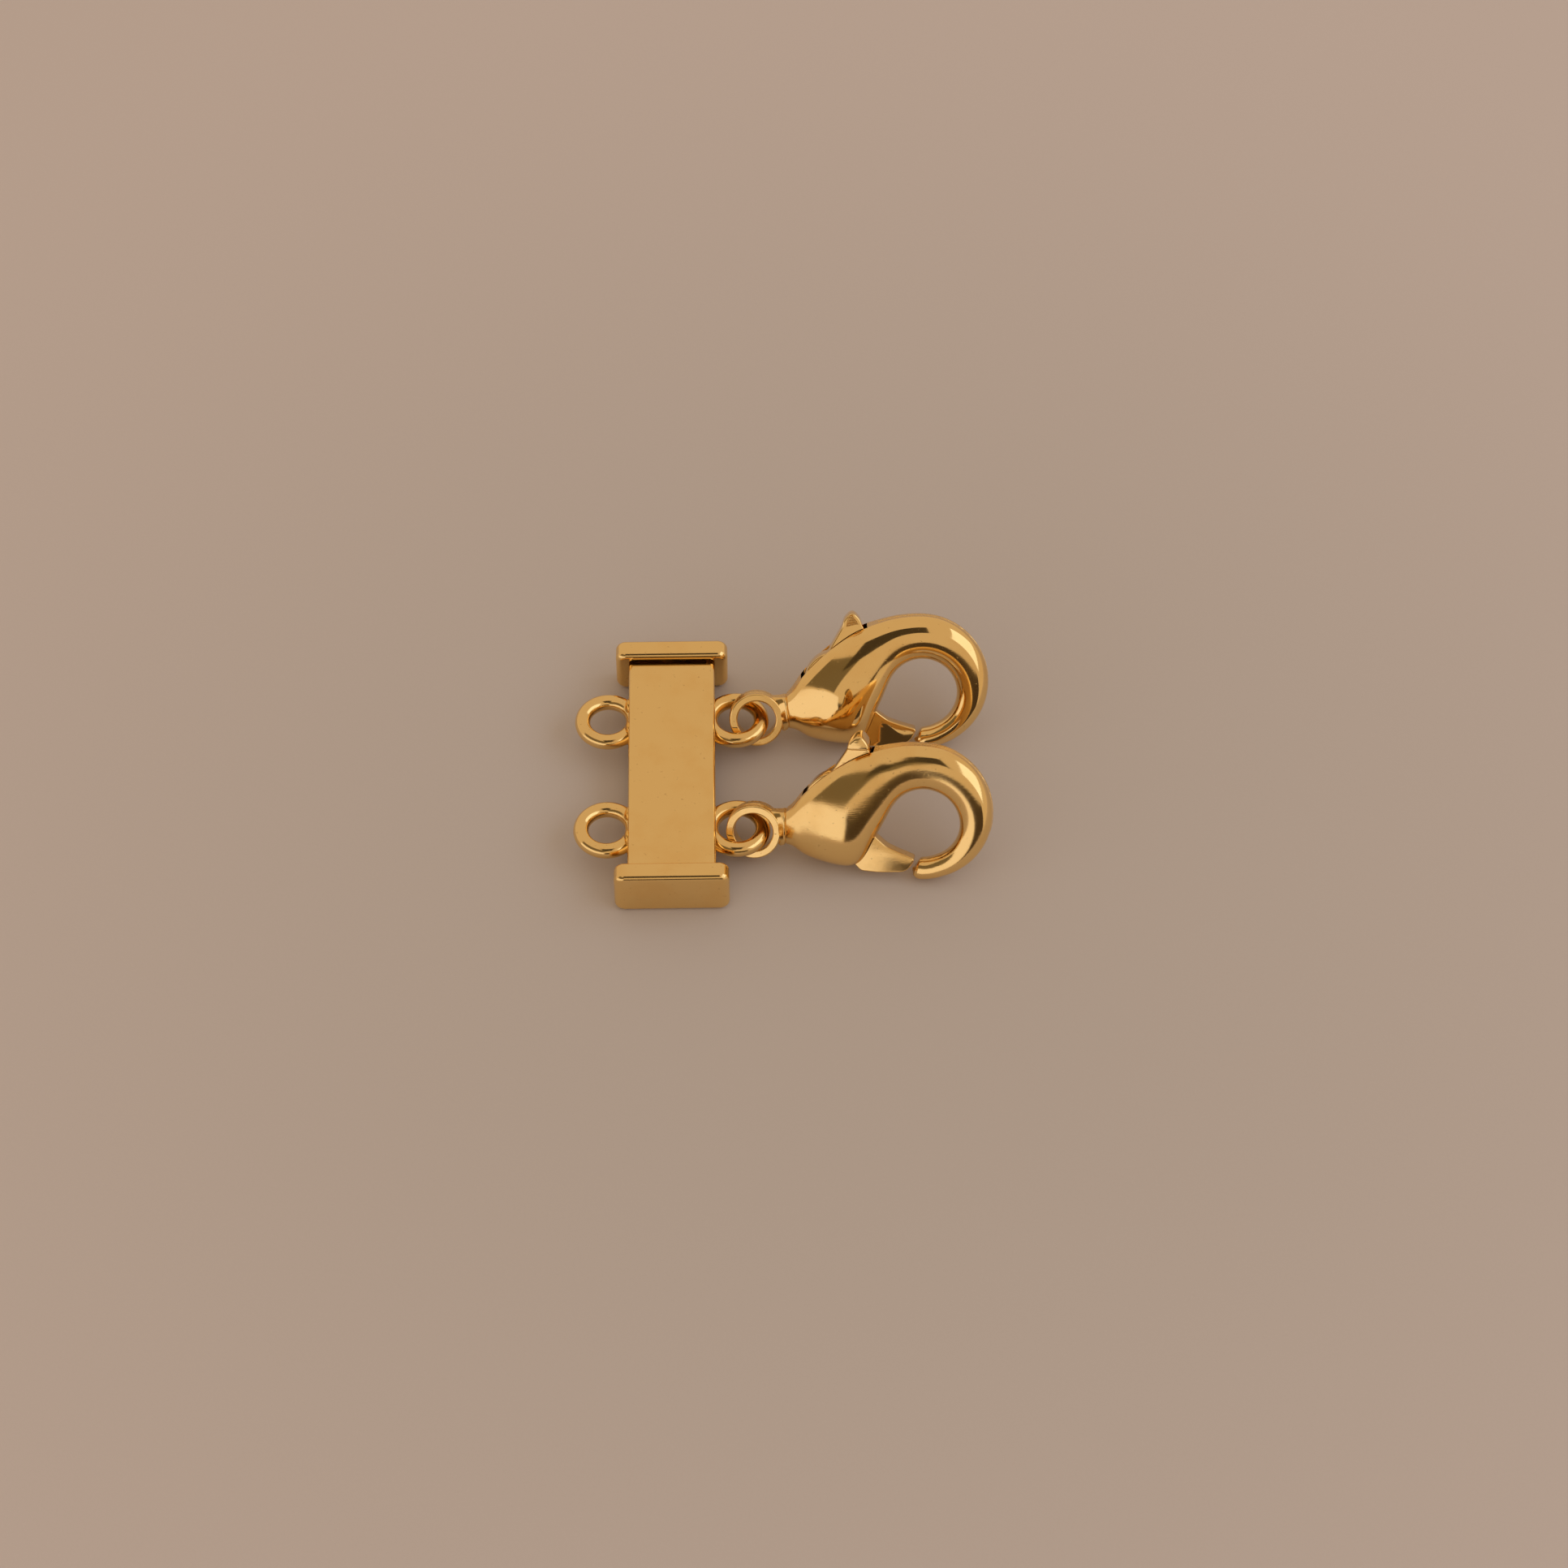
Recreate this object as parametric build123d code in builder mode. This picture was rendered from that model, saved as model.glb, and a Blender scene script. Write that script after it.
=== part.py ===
from build123d import *
import os
from math import copysign, cos, radians, sin

# Two-strand slide clasp lying on a surface, with a lobster clasp on each of its two right-hand loops.
# +X runs from the plain loops to the hooks, +Y along the bar towards the cap that pulls out, +Z up.
# The origin is the middle of the whole object's outline, on the surface that it lies on.

os.makedirs("parts", exist_ok=True)

# Bar and caps, in millimetres
bar_width = 4.0
bar_height = 1.5
bar_wall = 0.3
bar_edge = 0.2
cap_width = 5.22
cap_height = 2.45
cap_thickness = 1.0
cap_corner = 0.4
cap_edge = 0.2
cap_spacing = 11.98
end_gap = 0.25
slide_clearance = 0.05
nose_gap = 0.1

# Loops
loop_mid_radius = 1.18
loop_wire = 0.71
loop_seat = 0.216
loop_pitch = 6.32
loop_shift = -0.13

# Lobster clasp, drawn flat before it is laid in place: its own x runs from the bail's centre to the hook,
# its own y towards the thumb piece
bail_hole = 0.89
bail_band = 0.36
bail_thickness = 0.88
bail_round = 0.175
body_height = 4.68
body_thickness = 2.8
eye_reach = 7.65
eye_rise = 1.07
eye_radius = 1.68
hook_top_band = 2.06
hook_side_band = 1.48
hook_tip_band = 1.0
hook_thickness = 2.0
slot_width = 0.92
lever_clearance = 0.08
pivot_reach = 3.8
pivot_rise = 1.6
pin_radius = 0.35
pin_length = 2.0
pin_clearance = 0.03
hub_radius = 1.6
thumb_reach = 4.48
thumb_width = 1.0
thumb_height = 0.68
thumb_thickness = 1.2

# How each lobster clasp lies: its bail's centre from its loop's centre, and in degrees its lean from flat,
# its turn and the rise of its hook above its bail
clasp_poses = {
    "upper_lobster": {"loop": 1, "shift": (0.97, 0.05, 0.12), "lean": 54.0, "turn": 0.0, "rise": 0.75},
    "lower_lobster": {"loop": -1, "shift": (0.79, -0.18, 0.16), "lean": 56.0, "turn": -8.0, "rise": 0.7},
}

# Cross-section where the body grows out of the bail: two points as shares of the bail's outer radius, and
# a depth as a share of body_thickness
neck_section = (0.930, -0.255, 0.510, 0.818, 0.250)

# Cross-sections of the body from the neck to the eye, as shares: x of eye_reach, y of body_height,
# depth of body_thickness. Each runs from a point on the belly or mouth to one on the outer edge.
body_sections = [
    # belly x, belly y, outer x, outer y, depth
    (0.199, -0.111, 0.183, 0.233, 0.470),
    (0.301, -0.180, 0.255, 0.374, 0.680),
    (0.425, -0.245, 0.333, 0.530, 0.875),
    (0.549, -0.274, 0.425, 0.671, 1.000),
    (0.643, -0.248, 0.516, 0.782, 1.000),
    (0.703, -0.032, 0.608, 0.876, 0.930),
    (0.748, 0.132, 0.693, 0.934, 0.857),
]

# Cross-sections of the hook: the angle on the eye's circle and on the hook's outer circle in degrees,
# how far the outer point stands proud as a share of hook_top_band, the depth of hook_thickness
hook_sections = [
    # eye angle, outer angle, proud, depth
    (180, 122, 0.105, 1.10),
    (145, 112, 0.049, 1.02),
    (112, 101, 0.0, 0.96),
    (80, 78, 0.0, 0.92),
    (50, 48, 0.0, 0.88),
    (20, 18, 0.0, 0.82),
    (-10, -12, 0.0, 0.75),
    (-40, -42, 0.0, 0.66),
    (-65, -68, 0.0, 0.57),
    (-86, -88, 0.0, 0.51),
]

# Rounded end of the hook: the same two angles, the inset of both points as shares of hook_tip_band and
# the depth as a share of hook_thickness
tip_sections = [
    # eye angle, outer angle, eye inset, outer inset, depth
    (-92, -93.5, 0.11, 0.11, 0.44),
    (-95, -96, 0.24, 0.29, 0.27),
]

# Oval of each section: how square it is (1 is an ellipse, less is squarer) and its points in degrees
oval_power = 0.84
oval_angles = [0, 25, 50, 90, 130, 155, 180]

# Slot that the lever swings in, open at the outer edge, the mouth and the eye: shares of eye_reach and
# body_height
slot_corners = [
    (0.262, 0.225),
    (0.225, 0.560),
    (0.400, 1.150),
    (0.720, 1.200),
    (0.682, 0.880),
    (0.640, 0.620),
    (0.700, 0.480),
    (0.850, 0.390),
    (0.850, -0.500),
    (0.606, -0.500),
    (0.606, -0.262),
    (0.545, -0.200),
    (0.370, 0.130),
]

# Lever plate between the thumb piece and the gate's end, as the same shares
lever_upper_corners = [
    (0.664, 0.890),
    (0.604, 0.620),
    (0.604, 0.400),
    (0.664, 0.250),
    (0.726, 0.058),
    (0.797, -0.034),
    (0.871, -0.081),
    (0.928, -0.111),
]
lever_lower_corners = [
    (0.758, -0.299),
    (0.654, -0.297),
    (0.622, -0.250),
    (0.567, -0.160),
    (0.400, 0.180),
]

# Hub of the lever, whose round edge fills the slot along the rim: angles in degrees round the pivot
hub_angles = [172, 161, 150, 139, 128, 117, 106]

# End of the gate, facing the hook's end across a small gap: angle in degrees and inset as a share of
# hook_tip_band, the first from the eye's circle and the others from the hook's outer circle
gate_top = (-97.7, 0.033)
gate_end = [(-99.7, 0.434), (-103.9, 0.238)]

# Thumb piece: x from thumb_reach in thumb_width, y up from its foot in thumb_height
thumb_foot = 0.923
thumb_corners = [
    (-0.50, 0.0),
    (-0.42, 0.51),
    (-0.08, 1.0),
    (0.17, 1.0),
    (0.46, 0.51),
    (0.54, 0.10),
]

# Values worked out from the sizes above
bar_middle = cap_height / 2
loop_offset = bar_width / 2 - loop_seat + loop_mid_radius
loop_edge = loop_offset + loop_mid_radius + loop_wire / 2
bail_mid = bail_hole + bail_band / 2
bail_outer = bail_hole + bail_band
bail_edge = min(bail_round, 0.49 * bail_band, 0.49 * bail_thickness)
hook_radius = eye_radius + (hook_top_band + hook_tip_band) / 2
hook_rise = eye_rise + (hook_top_band - hook_tip_band) / 2
clasp_reach = eye_reach + eye_radius + hook_side_band
hook_reach = clasp_reach - hook_radius
upper_pose = clasp_poses["upper_lobster"]
upper_rise = radians(upper_pose["rise"])
upper_reach = hook_reach * cos(upper_rise) - hook_rise * sin(radians(upper_pose["lean"])) * sin(upper_rise)
clasp_edge = loop_offset + upper_pose["shift"][0] + upper_reach + hook_radius
bar_x = (loop_edge - clasp_edge) / 2
cap_inner = cap_spacing / 2
cap_outer = cap_inner + cap_thickness
channel_north = cap_inner - end_gap
channel_inner_width = bar_width - 2 * bar_wall
channel_inner_height = bar_height - 2 * bar_wall
inner_bar_width = channel_inner_width - 2 * slide_clearance
inner_bar_height = channel_inner_height - 2 * slide_clearance
side_slot_height = loop_wire + 2 * slide_clearance
lever_thickness = slot_width - 2 * lever_clearance


def cross_plane(y):
    """Plane across the bar at height y along it, facing the fixed cap, with its own y pointing up."""
    return Plane(origin=(bar_x, y, bar_middle), x_dir=(1, 0, 0), z_dir=(0, -1, 0))


def loop_centre(side, row):
    """Centre of a loop: side is -1 for the plain ones and 1 for the others, row is 1 or -1."""
    return (bar_x + side * loop_offset, row * loop_pitch / 2 + loop_shift, bar_middle)


def rounded_cap(outer_face):
    """Cap block with its outer face at the given place along the bar, edges rounded."""
    with BuildPart() as cap:
        with BuildSketch(cross_plane(outer_face)):
            RectangleRounded(cap_width, cap_height, cap_corner)
        extrude(amount=cap_thickness)
        fillet(cap.faces().sort_by(Axis.Y)[0].edges() + cap.faces().sort_by(Axis.Y)[-1].edges(), cap_edge)
    return cap.part


# Fixed half: a channel open along its right side, the cap that closes its end and the two plain loops
fixed_cap = rounded_cap(-cap_inner)
with BuildPart() as outer_half:
    add(fixed_cap)
    with BuildSketch(cross_plane(channel_north)):
        RectangleRounded(bar_width, bar_height, bar_edge)
    extrude(amount=channel_north + cap_inner)
    with Locations(loop_centre(-1, 1), loop_centre(-1, -1)):
        Torus(loop_mid_radius, loop_wire / 2)
    with BuildSketch(cross_plane(channel_north)):
        Rectangle(channel_inner_width, channel_inner_height)
        with Locations((bar_width / 2, 0)):
            Rectangle(bar_width, side_slot_height)
    extrude(amount=channel_north + cap_inner, mode=Mode.SUBTRACT)
outer_half.part.label = "outer_half"
export_step(outer_half.part, "parts/outer_half.step")

# Sliding half: the bar inside the channel, the cap that pulls it out and the two loops in the side slot
sliding_cap = rounded_cap(cap_outer)
with BuildPart() as inner_half:
    add(sliding_cap)
    with BuildSketch(cross_plane(cap_inner)):
        Rectangle(inner_bar_width, inner_bar_height)
    extrude(amount=cap_spacing - nose_gap)
    with Locations(loop_centre(1, 1), loop_centre(1, -1)):
        Torus(loop_mid_radius, loop_wire / 2)
inner_half.part.label = "inner_half"
export_step(inner_half.part, "parts/inner_half.step")


def clasp_place(pose):
    """Place of a lobster clasp: origin in its bail, x towards the hook, y towards the thumb piece."""
    centre = Vector(*loop_centre(1, pose["loop"])) + Vector(*pose["shift"])
    return Location(centre, (pose["lean"], -pose["rise"], pose["turn"]), Extrinsic.XYZ)


def on_circle(x, y, radius, angle):
    """Point of a circle in the clasp's own plane."""
    return (x + radius * cos(radians(angle)), y + radius * sin(radians(angle)))


def eye_point(angle, inset=0.0):
    """Point on the rim of the hook's eye, or inset into the band."""
    return on_circle(eye_reach, eye_rise, eye_radius + inset, angle)


def rim_point(angle, inset=0.0):
    """Point on the hook's outer rim, or inset into the band."""
    return on_circle(hook_reach, hook_rise, hook_radius - inset, angle)


def from_shares(corners):
    """Points in the clasp's own plane from shares of eye_reach and body_height."""
    return [(x * eye_reach, y * body_height) for x, y in corners]


def squared(value):
    """Sine or cosine of an oval section's point, pushed outwards for a squarer oval."""
    return copysign(abs(value) ** oval_power, value)


def on_oval(width, depth, side, angle):
    """Point of an oval section's front half (side 1) or back half (side -1), from rim to rim."""
    across = squared(cos(radians(angle)))
    through = squared(sin(radians(angle)))
    return (side * width / 2 * across, side * depth / 2 * through)


def section_plane(start, end):
    """Plane of a cross-section, its x along the line from start to end, its y through the thickness."""
    first = Vector(*start)
    last = Vector(*end)
    span = last - first
    return Plane(origin=(first + last) / 2, x_dir=span, z_dir=span.cross(Vector(0, 0, 1))), span.length


def all_sections():
    """Rows of inner point, outer point and depth, from the bail round to the hook's tip."""
    x1, y1, x2, y2, depth = neck_section
    rows = [((x1 * bail_outer, y1 * bail_outer), (x2 * bail_outer, y2 * bail_outer), depth * body_thickness)]
    for x1, y1, x2, y2, depth in body_sections:
        inner, outer = from_shares([(x1, y1), (x2, y2)])
        rows.append((inner, outer, depth * body_thickness))
    for eye_angle, rim_angle, proud, depth in hook_sections:
        outer = rim_point(rim_angle, -proud * hook_top_band)
        rows.append((eye_point(eye_angle), outer, depth * hook_thickness))
    for eye_angle, rim_angle, eye_inset, rim_inset, depth in tip_sections:
        inner = eye_point(eye_angle, eye_inset * hook_tip_band)
        outer = rim_point(rim_angle, rim_inset * hook_tip_band)
        rows.append((inner, outer, depth * hook_thickness))
    return rows


def thumb_outline():
    """Corners of the thumb piece, from its left foot over the top to its right foot."""
    foot = thumb_foot * body_height
    return [(thumb_reach + x * thumb_width, foot + y * thumb_height) for x, y in thumb_corners]


def lever_outline():
    """Corners of the lever plate: over the thumb piece, down to the mouth, round the gate and the hub."""
    gate = [eye_point(gate_top[0], gate_top[1] * hook_tip_band)]
    gate += [rim_point(angle, inset * hook_tip_band) for angle, inset in gate_end]
    hub = [on_circle(pivot_reach, pivot_rise, hub_radius, angle) for angle in hub_angles]
    return thumb_outline() + from_shares(lever_upper_corners) + gate + from_shares(lever_lower_corners) + hub


def lobster_body():
    """Cast body: bail, neck, swelling body and hook in one piece, slotted for the lever."""
    with BuildPart() as body:
        for inner, outer, depth in all_sections():
            plane, width = section_plane(inner, outer)
            with BuildSketch(plane):
                with BuildLine():
                    for side in (1, -1):
                        arch = [on_oval(width, depth, side, angle) for angle in oval_angles]
                        Spline(*arch, tangents=[(0, side), (0, -side)])
                make_face()
        loft()
        with BuildSketch(Plane.XZ):
            with Locations((bail_mid, 0)):
                RectangleRounded(bail_band, bail_thickness, bail_edge)
        revolve(axis=Axis.Z)
        with BuildSketch():
            with BuildLine():
                Polyline(*from_shares(slot_corners), close=True)
            make_face()
        extrude(amount=slot_width / 2, both=True, mode=Mode.SUBTRACT)
        with BuildSketch():
            with Locations((pivot_reach, pivot_rise)):
                Circle(pin_radius + pin_clearance)
        extrude(amount=pin_length / 2 + pin_clearance, both=True, mode=Mode.SUBTRACT)
    return body.part


def lobster_lever():
    """Lever plate with its wider thumb piece, its hub on the pin and the gate that closes the hook."""
    with BuildPart() as lever:
        with BuildSketch():
            with BuildLine():
                Polyline(*lever_outline(), close=True)
            make_face()
            with Locations((pivot_reach, pivot_rise)):
                Circle(pin_radius + pin_clearance, mode=Mode.SUBTRACT)
        extrude(amount=lever_thickness / 2, both=True)
        with BuildSketch():
            with BuildLine():
                Polyline(*thumb_outline(), close=True)
            make_face()
        extrude(amount=thumb_thickness / 2, both=True)
    return lever.part


def lobster_pin():
    """Hidden pivot pin, its ends inside the body's two cheeks."""
    with BuildPart() as pin:
        with BuildSketch():
            with Locations((pivot_reach, pivot_rise)):
                Circle(pin_radius)
        extrude(amount=pin_length / 2, both=True)
    return pin.part


clasp_makers = {"body": lobster_body, "lever": lobster_lever, "pin": lobster_pin}
for clasp_name, clasp_pose in clasp_poses.items():
    for piece_name, make_piece in clasp_makers.items():
        piece = make_piece().moved(clasp_place(clasp_pose))
        piece.label = clasp_name + "_" + piece_name
        export_step(piece, "parts/" + piece.label + ".step")
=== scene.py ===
"""Looks of a two-strand slide clasp with two lobster clasps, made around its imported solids."""

import logging
from collections.abc import Sequence
from dataclasses import dataclass, field
from enum import Enum
from math import atan2, cos, pi, radians, sin, tan

import bmesh
import bpy
import numpy as np
from mathutils import Euler, Matrix, Vector


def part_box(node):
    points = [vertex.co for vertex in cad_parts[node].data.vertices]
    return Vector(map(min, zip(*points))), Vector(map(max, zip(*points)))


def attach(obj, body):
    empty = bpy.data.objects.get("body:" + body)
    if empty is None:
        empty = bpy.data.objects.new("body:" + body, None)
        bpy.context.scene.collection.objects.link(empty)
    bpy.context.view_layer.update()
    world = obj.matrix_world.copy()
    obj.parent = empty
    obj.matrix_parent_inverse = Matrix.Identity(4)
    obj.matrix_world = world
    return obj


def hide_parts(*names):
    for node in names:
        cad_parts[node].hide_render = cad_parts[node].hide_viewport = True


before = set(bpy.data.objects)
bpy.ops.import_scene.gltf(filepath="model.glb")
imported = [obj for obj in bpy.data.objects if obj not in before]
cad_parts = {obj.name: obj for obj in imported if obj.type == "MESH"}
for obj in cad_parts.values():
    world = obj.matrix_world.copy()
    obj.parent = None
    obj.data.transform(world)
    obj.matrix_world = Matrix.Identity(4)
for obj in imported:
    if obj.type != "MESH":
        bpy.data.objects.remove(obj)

LOG = logging.getLogger("clasp")
MM = 0.001

Point = tuple[float, float]
Points = tuple[Point, ...]
Rows = tuple[tuple[float, ...], ...]
Colour = tuple[float, float, float]


class Half(Enum):
    """The two halves of the slide clasp: the side its loops stand on and the end its cap closes."""

    FIXED = (-1, -1)
    SLIDING = (1, 1)


class Cut(Enum):
    """What a boolean does with the second mesh."""

    JOIN = "UNION"
    REMOVE = "DIFFERENCE"


# Shader maths


class Value:
    """A number socket in a material, with the usual operators adding Math nodes."""

    def __init__(self, recipe: "Recipe", socket: bpy.types.NodeSocket) -> None:
        """Wraps one output socket of the recipe's tree."""
        self.recipe = recipe
        self.socket = socket

    def _math(self, operation: str, *others: "Value | float") -> "Value":
        """Adds a Math node on this value and the others."""
        sockets = dict(enumerate((self, *others)))
        return self.recipe.value("ShaderNodeMath", {"operation": operation}, sockets)

    def __add__(self, other: "Value | float") -> "Value":
        """Sum of the two."""
        return self._math("ADD", other)

    __radd__ = __add__

    def __mul__(self, other: "Value | float") -> "Value":
        """Product of the two."""
        return self._math("MULTIPLY", other)

    __rmul__ = __mul__

    def __sub__(self, other: "Value | float") -> "Value":
        """Difference of the two."""
        return self._math("SUBTRACT", other)

    def __rsub__(self, other: float) -> "Value":
        """The number less this value."""
        return self.recipe.value("ShaderNodeMath", {"operation": "SUBTRACT"}, {0: other, 1: self})

    def step(self, low: float, high: float) -> "Value":
        """Smooth step from 0 at low to 1 at high; low may lie above high.

        Args:
            low: where the step starts.
            high: where it ends.

        Returns:
            The stepped value.
        """
        settings = {"interpolation_type": "SMOOTHSTEP"}
        sockets = {"Value": self, "From Min": low, "From Max": high}
        return self.recipe.value("ShaderNodeMapRange", settings, sockets)


class Nodes:
    """A node tree, with one method that adds any node."""

    def __init__(self, tree: bpy.types.NodeTree) -> None:
        """Wraps the tree."""
        self.tree = tree

    def node(self, kind: str, settings: dict, sockets: dict) -> bpy.types.Node:
        """Adds a node.

        Args:
            kind: the node's type.
            settings: its own settings, set first.
            sockets: values or links of its inputs, by name or number.

        Returns:
            The node.
        """
        node = self.tree.nodes.new(kind)
        for name, setting in settings.items():
            setattr(node, name, setting)
        for name, given in sockets.items():
            self.feed(node.inputs[name], given)
        return node

    def feed(self, socket: bpy.types.NodeSocket, given: object) -> None:
        """Links a socket or a value into an input, or sets its number or colour.

        Args:
            socket: the input.
            given: what it gets.
        """
        if isinstance(given, Value):
            given = given.socket
        if isinstance(given, bpy.types.NodeSocket):
            self.tree.links.new(given, socket)
        elif isinstance(given, tuple) and socket.type == "RGBA":
            socket.default_value = (*given, 1.0)
        else:
            socket.default_value = given


class Recipe(Nodes):
    """A material's node tree."""

    def __init__(self, name: str) -> None:
        """Makes the material and takes its Principled shader.

        Args:
            name: the material's name.
        """
        self.material = bpy.data.materials.new(name)
        self.material.use_nodes = True
        super().__init__(self.material.node_tree)
        self.shader = self.tree.nodes["Principled BSDF"]
        self.place = self.node("ShaderNodeTexCoord", {}, {}).outputs["Object"]

    def value(self, kind: str, settings: dict, sockets: dict, output: int | str = 0) -> Value:
        """Adds a node and wraps one of its outputs as a value."""
        return Value(self, self.node(kind, settings, sockets).outputs[output])

    def noise(self, size_mm: float, detail: float = 3.0, stretch: Vector | None = None) -> Value:
        """Noise with features of about size_mm, stretched along its axes where that is given.

        Args:
            size_mm: size of the features in millimetres.
            detail: how many finer layers there are.
            stretch: scale of the place along each axis.

        Returns:
            The noise, from 0 to 1.
        """
        place = self.place
        if stretch is not None:
            place = self.node("ShaderNodeMapping", {}, {"Vector": place, "Scale": stretch}).outputs[0]
        sockets = {"Vector": place, "Scale": 1.0 / (size_mm * MM), "Detail": detail}
        return self.value("ShaderNodeTexNoise", {}, sockets, "Fac")

    def blend(self, share: Value | float, low: object, high: object) -> bpy.types.NodeSocket:
        """Mixes two colours by a share."""
        settings = {"data_type": "RGBA"}
        return self.node("ShaderNodeMix", settings, {0: share, 6: low, 7: high}).outputs[2]

    def relief(self, height: Value) -> None:
        """Feeds a height in millimetres into the shader's Normal as a bump."""
        sockets = {"Height": height, "Distance": MM, "Strength": 1.0}
        self.feed(self.shader.inputs["Normal"], self.node("ShaderNodeBump", {}, sockets).outputs[0])


# Finishes


@dataclass(frozen=True)
class GoldFinish:
    """Gold plating: how mirror-like it is, how it varies and what its surface carries.

    Ripple, brushed and cast are heights in millimetres; haze, specks and clouds are shares.
    """

    name: str
    colour: Colour = (0.94, 0.66, 0.27)
    deep: Colour = (0.86, 0.52, 0.16)
    roughness: float = 0.07
    haze: float = 0.08
    ripple: float = 0.0
    ripple_mm: float = 1.0
    brushed: float = 0.0
    cast: float = 0.0
    clouds: float = 0.3
    cloud_mm: float = 1.6
    grain_mm: float = 0.09
    specks: float = 0.5
    speck_mm: float = 0.16
    speck_height: float = -0.0015
    speck_colour: Colour = (0.35, 0.20, 0.07)

    def make(self) -> bpy.types.Material:
        """Builds the material.

        Returns:
            The material, ready for an object's slot.
        """
        recipe = Recipe(self.name)
        cloud = recipe.noise(self.cloud_mm, 4.0)
        fine = recipe.noise(self.grain_mm, 2.0)
        dust = recipe.noise(self.speck_mm, 1.0).step(0.70, 0.78) * self.specks
        colour = recipe.blend(cloud.step(0.42, 0.72) * self.clouds, self.colour, self.deep)
        colour = recipe.blend(dust * 0.5, colour, self.speck_colour)
        rough = cloud.step(0.35, 0.8) * self.haze + fine * 0.03 + dust * 0.25 + self.roughness
        height = recipe.noise(self.ripple_mm, 1.0) * self.ripple + dust * self.speck_height
        if self.brushed:
            height = height + recipe.noise(0.05, 3.0, Vector((0.12, 1.0, 1.0))) * self.brushed
        if self.cast:
            height = height + fine * self.cast
            rough = rough + fine.step(0.4, 0.7) * 0.15
        recipe.feed(recipe.shader.inputs["Base Color"], colour)
        recipe.feed(recipe.shader.inputs["Roughness"], rough)
        recipe.shader.inputs["Metallic"].default_value = 1.0
        recipe.relief(height)
        return recipe.material


@dataclass(frozen=True)
class PaperFinish:
    """Matt backdrop paper under the clasp, with the places and sizes of its tone in metres; its darker tone
    round the middle is painted shade round the clasp.
    """

    name: str = "backdrop_paper"
    # near is painted shade: the paper's tone round the clasp, darker than far, which is the paper's tone
    # further out
    near: Colour = (0.565, 0.515, 0.488)
    far: Colour = (0.655, 0.585, 0.565)
    middle: tuple[float, float, float] = (0.004, -0.006, 0.0)
    reach: Point = (0.008, 0.07)
    grain_mm: float = 0.12
    grain: float = 0.25

    def make(self) -> bpy.types.Material:
        """Builds the material, a warm tone that grows lighter away from the middle; the darker paper near the
        middle is painted shade round the clasp.

        Returns:
            The material, ready for the floor's slot.
        """
        recipe = Recipe(self.name)
        sockets = {0: recipe.place, 1: self.middle}
        # Painted shade: the paper darkens towards the middle, where the clasp stands; the grain is the
        # paper's own
        gap = recipe.value("ShaderNodeVectorMath", {"operation": "DISTANCE"}, sockets, "Value")
        tone = gap.step(*self.reach) + (recipe.noise(self.grain_mm, 2.0) - 0.5) * self.grain
        recipe.feed(recipe.shader.inputs["Base Color"], recipe.blend(tone, self.near, self.far))
        recipe.shader.inputs["Roughness"].default_value = 0.85
        return recipe.material


@dataclass(frozen=True)
class CardFinish:
    """Plain card that only shows as a reflection in the metal."""

    name: str
    colour: Colour

    def make(self) -> bpy.types.Material:
        """Builds the material, which glows evenly in its colour.

        Returns:
            The material, ready for a card's slot.
        """
        recipe = Recipe(self.name)
        plain_values = {
            "Base Color": (0.0, 0.0, 0.0),
            "Roughness": 1.0,
            "Specular IOR Level": 0.0,
            "Emission Color": self.colour,
            "Emission Strength": 1.0,
        }
        for socket, given in plain_values.items():
            recipe.feed(recipe.shader.inputs[socket], given)
        return recipe.material


SLIDE_GOLD = GoldFinish("slide_gold", roughness=0.10, haze=0.06, ripple=0.0012, ripple_mm=2.2)
LOOP_GOLD = GoldFinish("loop_gold", roughness=0.10, haze=0.10, ripple=0.006, ripple_mm=0.7)
SOLDER_GOLD = GoldFinish(
    "solder_gold", colour=(0.90, 0.55, 0.15), deep=(0.70, 0.34, 0.05), ripple=0.02, ripple_mm=0.3
)
MIRROR_GOLD = GoldFinish("mirror_gold", roughness=0.05, haze=0.05, ripple=0.002, ripple_mm=1.8)
BRUSHED_GOLD = GoldFinish("brushed_gold", roughness=0.09, haze=0.08, ripple=0.002, brushed=0.0015)
CAST_GOLD = GoldFinish("cast_gold", roughness=0.20, haze=0.12, cast=0.012)
PIN_BRASS = GoldFinish("pin_brass", roughness=0.25)


# Geometry helpers


def placed(name: str, data: bpy.types.ID) -> bpy.types.Object:
    """Makes an object of a mesh, lamp or camera and puts it into the scene.

    Args:
        name: the object's name.
        data: its mesh, lamp or camera.

    Returns:
        The object.
    """
    piece = bpy.data.objects.new(name, data)
    bpy.context.scene.collection.objects.link(piece)
    return piece


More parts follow.
